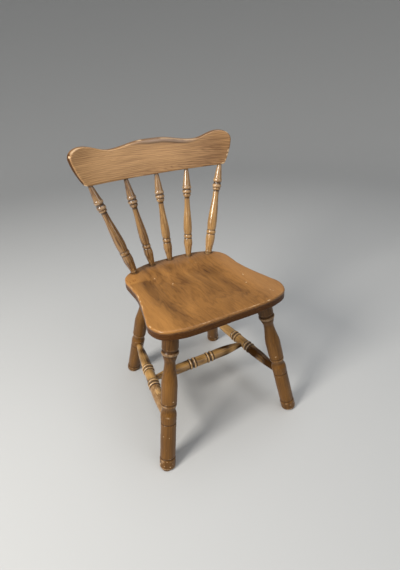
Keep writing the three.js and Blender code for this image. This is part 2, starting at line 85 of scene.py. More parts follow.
# Legs, measured down from the seat's underside
FRONT_SOCKET = (138.4, -139.4)
FRONT_FOOT = (217.6, -214.7)
REAR_SOCKET = (106.3, 113.3)
REAR_FOOT = (173.2, 214.7)
LEG_BLOCK_RADIUS = 22.2
LEG_RING_RADIUS = 23.2
LEG_NECK_RADIUS = 14.6
LEG_BALUSTER_RADIUS = 22.0
LEG_COVE_RADIUS = 18.3
LEG_BULB_RADIUS = 22.2
LEG_SHAFT_RADIUS = 21.6
LEG_GROOVE_DEPTH = 1.8
LEG_GROOVE_HALF = 3.0
LEG_FOOT_RADIUS = 22.5
LEG_FOOT_ROUND = 5.0
LEG_RING_PLACE = 71.5
LEG_RING_HALF = 6.5
LEG_NECK_PLACE = 101.0
LEG_BALUSTER_PLACE = 170.0
LEG_COLLAR_GROOVE = 222.5
LEG_COVE_PLACE = 241.0
LEG_BULB_PLACE = 260.0
LEG_BULB_GROOVE = 283.5
LEG_FOOT_GROOVE = 397.5
LEG_TENON_RADIUS = 12.5
LEG_TENON_LENGTH = 14.7

# Stretchers
STRETCHER_HEIGHT = 140.0
CROSS_PLACE = 0.524
STRETCHER_RADIUS = 16.3
STRETCHER_BEAD_RADIUS = 18.5
STRETCHER_GROOVE_RADIUS = 14.8
STRETCHER_GROOVE_SIDE = 3.0
STRETCHER_BEAD_WIDTH = 8.0
STRETCHER_BEAD_GAP = 6.5
SIDE_STRETCHER = dict(end_radius=9.6, swell=100, pair_place=34.5, carrier_radius=LEG_BULB_RADIUS)
CROSS_STRETCHER = dict(end_radius=8.8, swell=70, pair_place=32, carrier_radius=STRETCHER_RADIUS)

# Spindles: x and y on the seat, and x under the crest rail
END_POST_PLACE = (130.6, 153.3, 203.6)
INNER_SPINDLE_PLACE = (64.6, 172.3, 96.9)
MIDDLE_SPINDLE_PLACE = (0, 180.7, 0)
SPINDLE = dict(
    seat=8.6, shoulder=14.3, groove=12, bead=13.8, swell=13.8, neck=8.2,
    ring_groove=11.8, ring=14.6, crest=6.1,
    shoulder_place=42, bead_place=66.5, swell_place=90, neck_place=88, lower_ring=69, upper_ring=57,
)
POST = dict(
    seat=10.6, shoulder=15.4, groove=13.8, bead=15.6, swell=15.4, neck=9.2,
    ring_groove=11.8, ring=14.2, crest=6.6,
    shoulder_place=45, bead_place=71.5, swell_place=100, neck_place=82, lower_ring=67, upper_ring=50,
)
RING_HALF = 6.0
RING_FLARE = 1.5
RING_STEP = 0.8
BEAD_STEP = 1.0
BEAD_STEP_WIDTH = 2.0
COLLAR_PLACE = 4.0
COLLAR_WIDTH = 5.0
COLLAR_RISE = 1.0
SPINDLE_SEAT_DEPTH = 13.7
SPINDLE_CREST_DEPTH = 19.7

# Crest rail: x from the middle, h up the board and t through it
CREST_BOTTOM = 701.0
CREST_MIDDLE_Y = 227.9
CREST_BEND_RADIUS = 814.0
CREST_LEAN = math.radians(11.75)
CREST_THICKNESS = 20.0
CREST_ROUND = 4.0
CREST_ARCH = 3.0
CREST_HUMP = (22, 98.5)
CREST_DIP = (128, 85.4)
CREST_LOBE = (207, 103.8)
CREST_END = (244, 75)
CREST_CORNER = (219.5, 8)
CREST_CORNER_ROUND = 3.0
CREST_END_BOW = 7.0
CREST_SHOULDER = (246, 92)
CREST_LOBE_REACH = 229
CREST_SPINE_H = 50.0
CREST_WORN_ROUND = 8.0  # how much wider the front edge is rubbed round on the hump
CREST_WORN_MIDDLE = 38
CREST_WORN_HALF = 92

# Fineness of the surfaces: steps in millimetres, and numbers of samples, facets, rings and rows
TURNING_STEP = 0.7  # along a turned piece
LEG_FACETS = 56
STRETCHER_FACETS = 48
SPINDLE_FACETS = 40
SEAT_SAMPLES = 20  # between two points of the seat's outline
SEAT_TOP_RINGS = 83
SEAT_TOP_ROUND_RINGS = 9
SEAT_SIDE_RINGS = 6
SEAT_BOTTOM_ROUND_RINGS = 6
SEAT_UNDER_RINGS = 13
CREST_STEP = 1.9
CREST_END_SAMPLES = (10, 38, 36)  # on the lower corner, the slant and the lobe's shoulder
CREST_FACE_ROWS = 29
CREST_ROUND_ROWS = 10
CREST_SIDE_ROWS = 4
FLOOR_RINGS = 40
FLOOR_FACETS = 96
SHARP_ANGLE = 50

# Wear of the shapes
ARRIS = 0.35  # how far rubbing and varnish have softened a turned edge
PROUD_REACH = 4.5  # a turned edge is proud against the mean radius this far round it
NICK_DEPTH = 0.6
CHIP_DEPTH = 0.9
SEAT_UNEVEN = 0.35
SEAT_STEP = 0.5  # how far the left margin lies below the corner behind it
SEAT_STEP_X = (-112, -96)
SEAT_STEP_Y = (80, 87)
SEAT_MARGIN = (115, 160)  # distance from the middle over which the side margins turn paler
SEAT_DULL_AND_SHEEN_BACK = (130, 172)  # y over which the seat turns duller and greyer: weathered varnish and a painted sky reflection
SEAT_DULL_AND_SHEEN_RIGHT = (100, 150)  # x over which it does
SPINDLE_DIRT_AND_SHADE = 4.0  # how far grime and painted shade reach round a spindle on the seat
SPINDLE_DULL_AND_SHEEN = (-100, -55)  # place from the crest rail over which a spindle turns duller and greyer: weathered varnish and a painted grey highlight
LEG_SHADE = (260, 400)  # height over which a leg turns darker below the seat: staining and painted shade
LEG_SCUFFS = (2, 230)  # heights between which it is scuffed
LEG_FOOT = (12, 60)  # height over which the wear of its foot fades
LEG_FLOOR_SHADE = 9  # height up to which it is darkened at the floor: a painted contact shadow
END_GRAIN_X = (205, 225)
END_GRAIN_H = (86, 96)

# Floor and light, in metres and watts
FLOOR_FLAT = 3.0
FLOOR_REACH = 16.0
FLOOR_RISE = 15.0
FLOOR_COLOUR = (0.50, 0.50, 0.49, 1)
SKY_COLOUR = (0.92, 0.95, 1.0, 1)
SKY_STRENGTH = 0.36
SOFTBOXES = (  # name, place, aim, size, power and colour
    ("key", (-2.6, -0.7, 2.1), (0, 0, 0.4), (1.0, 1.2), 115, (1.0, 0.97, 0.92)),
    ("front", (1.2, -3.2, 1.9), (0, 0.1, 0.55), (2.2, 1.6), 18, (0.97, 0.98, 1.0)),
    ("overhead", (0.1, -0.3, 2.8), (0, 0, 0.4), (2.2, 1.8), 34, (0.95, 0.97, 1.0)),
)


# Arrays

def smoothstep(value, low, high):
    """0 below low, 1 above high, and 3t^2 - 2t^3 between them."""
    t = np.clip((value - low) / (high - low), 0, 1)
    return t * t * (3 - 2 * t)


def unit(vector):
    vector = np.asarray(vector, float)
    return vector / np.linalg.norm(vector)


def ripple(points, wavelength, seed):
    """Smooth unevenness of about -1 to 1: a dozen sine waves in random directions, added up."""
    rng = np.random.default_rng(seed)
    waves = rng.normal(size=(12, 3))
    waves *= 2 * math.pi / wavelength / np.linalg.norm(waves, axis=1, keepdims=True)
    phases = rng.uniform(0, 2 * math.pi, 12)
    return np.sin(points @ waves.T + phases).sum(axis=-1) / math.sqrt(12)


def spot(x, y, centre, half_width, half_length, turn=0.0):
    """A soft oval mark: 1 at its centre, falling off as exp(-u^2 - v^2) in its own turned axes."""
    cos, sin = math.cos(math.radians(turn)), math.sin(math.radians(turn))
    dx, dy = x - centre[0], y - centre[1]
    u = (dx * cos + dy * sin) / half_width
    v = (dy * cos - dx * sin) / half_length
    return np.exp(-u * u - v * v)


def softened(values, reach):
    """A running mean along the first axis with a bell-shaped weight, reach samples wide."""
    span = max(1, int(round(3 * reach)))
    weights = np.exp(-0.5 * (np.arange(-span, span + 1) / reach) ** 2)
    padded = np.concatenate([np.full(span, values[0]), values, np.full(span, values[-1])])
    return np.convolve(padded, weights / weights.sum(), mode="valid")


# Meshes

def drawing_shift():
    """How far the drawing lies from the frame along Y, in millimetres, from the seat in both."""
    low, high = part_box("seat")
    outline = seat_outline(SEAT_SAMPLES)
    middle = (outline[:, 1].min() + outline[:, 1].max()) / 2
    return (low.y + high.y) / 2 / MM - middle


def cells(index):
    """The four corners of every cell of a grid, once round, where the columns close on themselves."""
    after = np.roll(index, -1, axis=1)
    return index[:-1], after[:-1], after[1:], index[1:]


def add_piece(name, node, slot, finish, grid, marks):
    """Joins a grid of points into one closed mesh that stands for a node of the frame.

    grid[i, j] is the point on row i and column j, and the columns close on themselves. Points
    that lie together are shared, so a row that shrinks to a point becomes a pole and the faces
    that shrink to nothing go. marks has values for the points: grain, worn, soil, stain, chip, dull;
    all but grain also carry painted light and shade.
    """
    points = (grid + (0, SHIFT_Y, 0)) * MM
    rounded = np.round(points.reshape(-1, 3), WELD) + 0.0
    corners, first, shared = np.unique(rounded, axis=0, return_index=True, return_inverse=True)
    a, b, c, d = cells(shared.reshape(grid.shape[:2]))
    faces = np.stack([np.stack([a, b, c], -1), np.stack([a, c, d], -1)]).reshape(-1, 3)
    keep = (faces[:, 0] != faces[:, 1]) & (faces[:, 1] != faces[:, 2]) & (faces[:, 2] != faces[:, 0])
    faces = faces[keep]
    one, two, three = (corners[faces[:, k]] for k in range(3))
    if np.einsum("ij,ij->i", one, np.cross(two, three)).sum() < 0:
        faces = faces[:, ::-1]
    mesh = bpy.data.meshes.new(name)
    mesh.from_pydata(corners.tolist(), [], faces.tolist())
    for mark, values in marks.items():
        vector = values.ndim == 3
        attribute = mesh.attributes.new(mark, "FLOAT_VECTOR" if vector else "FLOAT", "POINT")
        chosen = values.reshape(-1, 3)[first] if vector else values.reshape(-1)[first]
        attribute.data.foreach_set("vector" if vector else "value", chosen.astype(np.float32).ravel())
    mesh.polygons.foreach_set("use_smooth", np.ones(len(faces), bool))
    mesh.set_sharp_from_angle(angle=math.radians(SHARP_ANGLE))
    mesh.materials.append(finish)
    piece = bpy.data.objects.new(name, mesh)
    bpy.context.scene.collection.objects.link(piece)
    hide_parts(node)
    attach(piece, "root")
    return piece


# Seat

def seat_outline(samples):
    """A closed curve through the outline's points: centripetal Catmull-Rom, as Hermite pieces."""
    right = np.array(SEAT_HALF_OUTLINE, float)
    left = right[-2:0:-1] * (-1, 1)
    p1 = np.concatenate([right, left])
    p0, p2, p3 = (np.roll(p1, -k, axis=0) for k in (-1, 1, 2))
    gap = [np.sqrt(np.linalg.norm(b - a, axis=1))[:, None] for a, b in ((p0, p1), (p1, p2), (p2, p3))]
    leave = ((p1 - p0) / gap[0] - (p2 - p0) / (gap[0] + gap[1]) + (p2 - p1) / gap[1]) * gap[1]
    arrive = ((p2 - p1) / gap[1] - (p3 - p1) / (gap[1] + gap[2]) + (p3 - p2) / gap[2]) * gap[1]
    t = np.linspace(0, 1, samples, endpoint=False)[None, :, None]
    curve = (
        (2 * t**3 - 3 * t**2 + 1) * p1[:, None]
        + (t**3 - 2 * t**2 + t) * leave[:, None]
        + (3 * t**2 - 2 * t**3) * p2[:, None]
        + (t**3 - t**2) * arrive[:, None]
    )
    return curve.reshape(-1, 2)


def seat_top(y):
    return SEAT_HEIGHT - SEAT_FALL * y


def seat_underside(y):
    return seat_top(y) - SEAT_THICKNESS


def scoop(x, y):
    """Depth of the hollow: side walls times back wall times front slope, less the middle ridge."""
    across = 1 - smoothstep(np.abs(x), *SCOOP_SIDES)
    back = 1 - smoothstep(y, *SCOOP_BACK)
    front = smoothstep(y, *SCOOP_FRONT)
    ridge = SADDLE_RIDGE * (1 - smoothstep(np.abs(x), 0, SADDLE_RIDGE_HALF))
    return (SCOOP_DEPTH - ridge) * across * back * front


SEAT_FIGURE = (  # how dark or, below zero, light, then middle, half width, half length and turn
    (0.60, (-124, 50), 17, 34, 0), (0.45, (-131, -15), 12, 38, -6), (0.50, (-116, -80), 12, 46, 8),
    (0.40, (-103, -160), 12, 36, 6), (0.50, (-72, 95), 8, 26, 0), (0.40, (-20, 125), 14, 28, 4),
    (0.45, (-22, 25), 17, 46, -8), (0.62, (74, 45), 34, 40, 6), (0.50, (79, -60), 13, 48, 5),
    (0.30, (30, -55), 18, 42, 10), (0.30, (88, -130), 11, 32, 0), (0.25, (-60, -20), 12, 44, 6),
    (-0.50, (-50, 105), 8, 36, 4), (-0.70, (-72, -125), 15, 40, -6), (-0.45, (5, 60), 9, 60, 8),
    (-0.35, (8, -20), 6, 40, -12), (-0.20, (-155, -150), 14, 30, -8), (-0.50, (138, -40), 28, 130, -4),
    (-0.40, (-150, 100), 15, 12, 0), (-0.30, (40, 140), 20, 24, 0), (-0.35, (35, 20), 5, 40, 14),
)
SEAT_NICKS = (  # where the varnish is broken through: middle, half width, half length and turn
    ((-55, 32), 2.0, 2.8, -20), ((-58, 24), 1.0, 4.0, 10), ((138, -46), 1.4, 6.0, -8),
    ((121, -88), 1.6, 4.0, -25), ((-91, 87), 2.0, 2.6, 0), ((-98, 93), 1.4, 1.6, 0),
    ((146, -166), 0.9, 9.0, -14), ((150, -176), 0.9, 7.0, -14), ((60, 110), 1.2, 1.2, 0),
)
SEAT_RIM_CHIPS = (  # the same on the upper edge
    ((-172.5, 31), 3.0, 6.5, 0), ((-171, 4), 2.6, 5.0, 0), ((-173, 66), 2.2, 9.0, 0),
    ((-176, -22), 2.2, 6.0, 8), ((-196, -152), 2.4, 5.0, 0), ((-150, -203), 4.0, 2.2, 20),
    ((112, -208), 6.0, 2.0, 0), ((192, -110), 2.0, 6.0, 0), ((170, 40), 2.0, 8.0, 0),
)


def marks_total(x, y, table):
    return sum(spot(x, y, *entry) for entry in table)


def seat_board():
    """Point (around, ring): the outline drawn in by each ring's share and inset, at the ring's drop.

    Rings run from the middle of the top over a quarter round to the side, and over a smaller
    one to the middle of the flat underside. The top's drop also has the scoop's depth. In front
    of its rear corner the left margin steps down by a hair, as the photo shows.
    """
    outline = seat_outline(SEAT_SAMPLES)
    along = np.roll(outline, -1, axis=0) - np.roll(outline, 1, axis=0)
    along /= np.linalg.norm(along, axis=1, keepdims=True)
    inward = np.stack([-along[:, 1], along[:, 0]], -1)
    top_shares = np.linspace(0, 1, SEAT_TOP_RINGS, endpoint=False)
    over = np.radians(np.linspace(0, 90, SEAT_TOP_ROUND_RINGS))
    under = np.radians(np.linspace(90, 0, SEAT_BOTTOM_ROUND_RINGS))
    lowest = SEAT_THICKNESS - SEAT_BOTTOM_ROUND
    side_drop = np.linspace(SEAT_TOP_ROUND, lowest, SEAT_SIDE_RINGS + 2)[1:-1]
    under_shares = np.linspace(1, 0, SEAT_UNDER_RINGS + 1)[1:]
    share = np.concatenate([top_shares, np.ones(len(over) + len(side_drop) + len(under)), under_shares])
    inset = np.concatenate([
        np.full(len(top_shares), SEAT_TOP_ROUND),
        SEAT_TOP_ROUND * (1 - np.sin(over)),
        np.zeros(len(side_drop)),
        SEAT_BOTTOM_ROUND * (1 - np.sin(under)),
        np.full(len(under_shares), SEAT_BOTTOM_ROUND),
    ])
    drop = np.concatenate([
        np.zeros(len(top_shares)),
        SEAT_TOP_ROUND * (1 - np.cos(over)),
        side_drop,
        SEAT_THICKNESS - SEAT_BOTTOM_ROUND * (1 - np.cos(under)),
        np.full(len(under_shares), SEAT_THICKNESS),
    ])
    plan = share[:, None, None] * (outline + inset[:, None, None] * inward)
    x, y = plan[..., 0], plan[..., 1]
    drop = np.broadcast_to(drop[:, None], x.shape)
    upper = 1 - smoothstep(drop, 0.7 * SEAT_TOP_ROUND, SEAT_TOP_ROUND)
    chips_and_glints = marks_total(x, y, SEAT_RIM_CHIPS) * (drop < SEAT_THICKNESS / 2)
    nicks = marks_total(x, y, SEAT_NICKS) * upper
    corner = smoothstep(y, *SEAT_STEP_Y) * (1 - smoothstep(x, *SEAT_STEP_X))
    left = x < -90
    flat = np.stack([x, y, np.zeros_like(x)], -1)
    z = seat_top(y) - drop - NICK_DEPTH * nicks
    z = z - upper * (scoop(x, y) + SEAT_STEP * (1 - corner) * left - SEAT_UNEVEN * ripple(flat, 90, 1))
    rim = (share > 0.99)[:, None]
    push = CHIP_DEPTH * np.minimum(chips_and_glints, 1) * smoothstep(drop, 0, 1) * rim
    x, y = x + push * inward[:, 0], y + push * inward[:, 1]
    z = z - 0.6 * push

    # A pale rim along the upper edge: partly wear, partly a painted highlight.
    edge = rim * smoothstep(drop, 0.2, 0.9) * (1 - smoothstep(drop, 1.2, 2.8))
    side = smoothstep(drop, SEAT_TOP_ROUND - 1, SEAT_TOP_ROUND + 5)
    figure = sum(depth * spot(x, y, *shape) for depth, *shape in SEAT_FIGURE)
    figure = figure + 0.25 * (1 - corner) * left * smoothstep(y, 40, 80) - 0.25 * corner
    margin = smoothstep(np.abs(x), *SEAT_MARGIN)
    # The side faces are darker: a deeper staining, and painted shade.
    stain_and_shading = upper * (np.clip(figure, -0.8, 1) - 0.65 * margin) + 1.18 * side
    soil_and_shade = np.zeros_like(x)
    # A dark halo round each spindle on the seat: grime, and painted shade at the joint.
    for place, pattern in spindle_places():
        reach = np.hypot(x - place[0], y - place[1]) - pattern["seat"]
        soil_and_shade = np.maximum(soil_and_shade, 0.8 * np.exp(-((np.maximum(reach, 0) / SPINDLE_DIRT_AND_SHADE) ** 2)) * upper)
    swirl = 13 * np.sin((y - 10) / 48) * np.exp(-(((x - 8) / 60) ** 2) - ((y - 40) / 110) ** 2)
    # Towards the back and the right the top turns duller and greyer: weathered varnish and a painted
    # sky reflection.
    back = smoothstep(y + 6 * ripple(flat, 60, 3), *SEAT_DULL_AND_SHEEN_BACK)
    marks = dict(
        grain=np.stack([x + swirl, z, y], -1) * MM,
        worn=np.clip(edge * (0.28 + 0.35 * ripple(flat, 45, 2)), 0, 1),
        soil_and_shade=soil_and_shade,
        stain_and_shading=stain_and_shading,
        chip_and_glint=np.clip(1.2 * chips_and_glints * edge + 0.95 * nicks, 0, 1),
        dull_and_sheen=upper * (0.03 + 0.25 * back + 0.16 * smoothstep(x, *SEAT_DULL_AND_SHEEN_RIGHT)),
    )
    return np.stack([x, y, z], -1), marks


# Turned work

class Turning:
    """A turned profile, grown along the axis one shape at a time: places and radii as arrays."""

    def __init__(self, start, radius):
        self.places = [np.array([float(start)])]
        self.radii = [np.array([float(radius)])]

    def grow(self, to, radius, shape):
        start, last = self.places[-1][-1], self.radii[-1][-1]
        count = max(2, math.ceil((to - start) / (TURNING_STEP / 4)))
        t = np.linspace(0, 1, count + 1)[1:]
        self.places.append(start + (to - start) * t)
        self.radii.append(last + (radius - last) * shape(t))
        return self

    def line(self, to, radius):
        """A straight taper."""
        return self.grow(to, radius, lambda t: t)

    def sweep(self, to, radius):
        """An S-shaped change of radius: (1 - cos(pi t)) / 2."""
        return self.grow(to, radius, lambda t: (1 - np.cos(np.pi * t)) / 2)

    def swell(self, to, radius):
        """A change of radius that starts steep and ends level: sin(pi t / 2)."""
        return self.grow(to, radius, lambda t: np.sin(np.pi * t / 2))

    def droop(self, to, radius):
        """A change of radius that starts level and ends steep: 1 - cos(pi t / 2)."""
        return self.grow(to, radius, lambda t: 1 - np.cos(np.pi * t / 2))

    def groove(self, place, half, depth, after):
        """A V-groove."""
        radius = self.radii[-1][-1]
        return self.line(place - half, radius).line(place, radius - depth).line(place + half, after)

    def bead(self, to, radius, peak):
        """A round bead: up as 0.6 sqrt(1 - (1 - t)^2) + 0.4 sin(pi t / 2), and down in reverse."""
        def rise(t):
            return 0.6 * np.sqrt(1 - (1 - t) ** 2) + 0.4 * np.sin(np.pi * t / 2)
        middle = (self.places[-1][-1] + to) / 2
        self.grow(middle, peak, rise)
        return self.grow(to, radius, lambda t: 1 - rise(1 - t))

    def mirrored(self):
        """The same shapes again in reverse, for a profile that ends at its middle."""
        places = np.concatenate(self.places)
        radii = np.concatenate(self.radii)
        self.places.append(-places[-2::-1])
        self.radii.append(radii[-2::-1])
        return self

    def profile(self):
        """Even steps along the axis and their radii with the arrises softened, how far each step
        stands proud of the wood round it, and how deep the hollow is that it lies in or beside.
        """
        places = np.concatenate(self.places)
        radii = np.concatenate(self.radii)
        count = math.ceil((places[-1] - places[0]) / TURNING_STEP) + 1
        even = np.linspace(places[0], places[-1], count)
        level = np.interp(even, places, radii)
        soft = softened(level, ARRIS / TURNING_STEP)
        proud = soft - softened(level, PROUD_REACH / TURNING_STEP)
        hollow = np.max([np.roll(-proud, k) for k in (-1, 0, 1)], axis=0)
        return even, soft, np.maximum(proud, 0), np.maximum(hollow, 0)


def turned_piece(axis, turning, facets, seed, stub=0.0, stub_radius=0.0):
    """Point (s, a) lies s along the axis and the turned radius away from it, at angle a.

    A stub of its own radius may stand out from the start, as a leg's tenon does. The radius
    has a slight unevenness, as old turned wood has.
    """
    origin, direction, _ = axis
    across = unit(np.cross(direction, (0.3, 1, 0.1)))
    other = np.cross(direction, across)
    places, radii, proud, hollow = turning.profile()
    angle = 2 * np.pi * np.arange(facets) / facets
    if stub:
        places = np.concatenate([[-stub, -stub, places[0]], places])
        radii = np.concatenate([[0, stub_radius, stub_radius], radii])
    else:
        places = np.concatenate([places[:1], places])
        radii = np.concatenate([[0], radii])
    places = np.concatenate([places, places[-1:]])
    radii = np.concatenate([radii, [0]])
    missing = (len(places) - len(proud) - 1, 1)
    proud, hollow = np.pad(proud, missing), np.pad(hollow, missing)
    round_part = np.cos(angle)[:, None] * across + np.sin(angle)[:, None] * other
    spine = origin + places[:, None, None] * direction
    surface = spine + radii[:, None, None] * round_part
    uneven = 0.16 * ripple(surface, 55, seed) + 0.06 * ripple(surface, 14, seed + 1)
    worn_radius = np.maximum(radii[:, None] + uneven * (radii > 1)[:, None], 0)
    grid = spine + worn_radius[..., None] * round_part
    offset = np.array([0.011, 0.017, 0.31]) * (seed + 1)
    grain = np.stack([
        worn_radius * np.cos(angle), worn_radius * np.sin(angle),
        np.broadcast_to(places[:, None], worn_radius.shape),
    ], -1) * MM + offset
    proud = np.broadcast_to(proud[:, None], worn_radius.shape)
    hollow = np.broadcast_to(hollow[:, None], worn_radius.shape)
    marks = dict(
        grain=grain,
        worn=0.55 * smoothstep(proud + 0.15 * ripple(surface, 18, seed + 2), 0.12, 0.7),
        soil_and_shade=0.9 * smoothstep(hollow, 0.2, 0.9),
        stain_and_shading=np.zeros_like(worn_radius),
        chip_and_glint=np.zeros_like(worn_radius),
        dull_and_sheen=np.zeros_like(worn_radius),
    )
    return grid, marks


def axis_between(start, end):
    start, end = np.array(start, float), np.array(end, float)
    return start, unit(end - start), np.linalg.norm(end - start)


# Legs

def leg_axis(side, socket, foot):
    top = (side * socket[0], socket[1], seat_underside(socket[1]))
    return axis_between(top, (side * foot[0], foot[1], 0))


def leg_turning(length):
    """One pattern for all four legs, measured down from the seat. The rear ones are cut shorter."""
    ring_side = LEG_RING_RADIUS - 2 * LEG_GROOVE_DEPTH
    sole = LEG_FOOT_RADIUS - LEG_FOOT_ROUND
    return (
        Turning(-LEG_BLOCK_RADIUS / 2, LEG_BLOCK_RADIUS)
        .line(LEG_RING_PLACE - 2 * LEG_RING_HALF, LEG_BLOCK_RADIUS)
        .line(LEG_RING_PLACE - LEG_RING_HALF, ring_side)
        .bead(LEG_RING_PLACE + LEG_RING_HALF, ring_side, LEG_RING_RADIUS)
        .sweep(LEG_NECK_PLACE, LEG_NECK_RADIUS)
        .sweep(LEG_BALUSTER_PLACE, LEG_BALUSTER_RADIUS)
        .droop(LEG_COLLAR_GROOVE - LEG_GROOVE_HALF, LEG_SHAFT_RADIUS)
        .groove(LEG_COLLAR_GROOVE, LEG_GROOVE_HALF, LEG_GROOVE_DEPTH, LEG_SHAFT_RADIUS)
        .sweep(LEG_COVE_PLACE, LEG_COVE_RADIUS)
        .sweep(LEG_BULB_PLACE, LEG_BULB_RADIUS)
        .droop(LEG_BULB_GROOVE - LEG_GROOVE_HALF, LEG_SHAFT_RADIUS)
        .groove(LEG_BULB_GROOVE, LEG_GROOVE_HALF, LEG_GROOVE_DEPTH, LEG_SHAFT_RADIUS)
        .groove(LEG_FOOT_GROOVE, LEG_GROOVE_HALF, LEG_GROOVE_DEPTH, LEG_SHAFT_RADIUS)
        .line(LEG_FOOT_GROOVE + 2 * LEG_GROOVE_HALF, LEG_FOOT_RADIUS)
        .line(length - LEG_FOOT_ROUND, LEG_FOOT_RADIUS)
        .droop(length, sole)
        .line(length + LEG_FOOT_RADIUS / 2, sole)
    )


def leg(axis, seed, tone):
    """A turned leg, cut along its axis by the seat's underside at the top and by the floor below.

    It is darkest below the seat, from staining and painted shade, is darkened at the floor by a
    painted contact shadow, has small pale scuffs low down, and tone darkens all of it.
    """
    direction, length = axis[1], axis[2]
    tenon = LEG_TENON_LENGTH, LEG_TENON_RADIUS
    grid, marks = turned_piece(axis, leg_turning(length), LEG_FACETS, seed, *tenon)
    slope = np.array([0, SEAT_FALL, 1])
    over = (grid @ slope - (SEAT_HEIGHT - SEAT_THICKNESS - CLEARANCE)) / (direction @ slope)
    body = np.arange(len(grid))[:, None] > 1
    grid = grid - np.where(body & (over < 0), over, 0)[..., None] * direction
    below = np.minimum(grid[..., 2], 0) / direction[2]
    grid = grid - below[..., None] * direction
    height = grid[..., 2]
    foot = 1 - smoothstep(height, *LEG_FOOT)
    scuffs = smoothstep(ripple(grid, 8, seed + 40) + 0.6 * foot, 1.45, 2.05)
    marks["chip_and_glint"] = 0.8 * scuffs * (height > LEG_SCUFFS[0]) * (height < LEG_SCUFFS[1])
    # Darkened just above the floor: a painted contact shadow.
    marks["soil_and_shade"] = np.maximum(marks["soil_and_shade"], 0.55 * (1 - smoothstep(height, 0, LEG_FLOOR_SHADE)))
    # Darker below the seat: staining and painted shade.
    shade_under_seat = smoothstep(height, *LEG_SHADE)
    marks["stain_and_shading"] = tone + 0.25 * foot + 0.5 * shade_under_seat + 0.15 * ripple(grid, 120, seed + 50)
    return grid, marks


def at_height(axis, height):
    origin, direction, _ = axis
    return origin + direction * (height - origin[2]) / direction[2]


# Stretchers

def stretcher_turning(length, end_radius, swell, pair_place, carrier_radius):
    """A slim-ended bar with a pair of beads on each side of its middle."""
    side, groove = STRETCHER_GROOVE_SIDE, STRETCHER_GROOVE_RADIUS
    stub = carrier_radius + side - length / 2
    first = -pair_place - STRETCHER_BEAD_GAP / 2 - STRETCHER_BEAD_WIDTH
    second = -pair_place + STRETCHER_BEAD_GAP / 2
    return (
        Turning(-length / 2 + CLEARANCE, end_radius)
        .line(stub, end_radius)
        .swell(min(stub + swell, first - 2 * side), STRETCHER_RADIUS)
        .line(first - side, STRETCHER_RADIUS)
        .line(first, groove)
        .bead(first + STRETCHER_BEAD_WIDTH, groove, STRETCHER_BEAD_RADIUS)
        .line(second, groove)
        .bead(second + STRETCHER_BEAD_WIDTH, groove, STRETCHER_BEAD_RADIUS)
        .line(second + STRETCHER_BEAD_WIDTH + side, STRETCHER_RADIUS)
        .line(0, STRETCHER_RADIUS)
        .mirrored()
    )


def stretcher(axis, pattern, seed):
    """A stretcher, blotched by its stain."""
    start, direction, length = axis
    middle = (start + direction * length / 2, direction, length)
    turning = stretcher_turning(length, **pattern)
    grid, marks = turned_piece(middle, turning, STRETCHER_FACETS, seed)
    marks["stain_and_shading"] = 0.15 + 0.7 * ripple(grid, 42, seed + 60)
    return grid, marks


def side_light_and_tone(grid, marks, hand):
    """Painted light makes the left one paler in front, in tone and edges; the right one is dark there
    and pale behind.
    """
    forward = smoothstep(-grid[..., 1], 20, 60)
    behind = smoothstep(grid[..., 1], 20, 70)
    if hand == "left":
        # Painted light on the front of the left one, in its tone and along its edges.
        marks["stain_and_shading"] = marks["stain_and_shading"] - 1.9 * forward - 0.05 + 0.4 * behind
        marks["worn"] = marks["worn"] + 0.5 * forward * (1 - marks["soil_and_shade"])
    else:
        marks["stain_and_shading"] = marks["stain_and_shading"] + 0.9 * forward - 1.0 * behind
    return grid, marks


# Spindles

def spindle_places():
    """Where each spindle meets the seat, with its pattern."""
    places = [((0, MIDDLE_SPINDLE_PLACE[1]), SPINDLE)]
    for side in (-1, 1):
        places.append(((side * END_POST_PLACE[0], END_POST_PLACE[1]), POST))
        places.append(((side * INNER_SPINDLE_PLACE[0], INNER_SPINDLE_PLACE[1]), SPINDLE))
    return places


def spindle_axis(side, place):
    seat_x, seat_y, crest_x = place
    top = crest_point(side * crest_x, crest_bottom(crest_x), 0)
    return axis_between((side * seat_x, seat_y, seat_top(seat_y)), top)


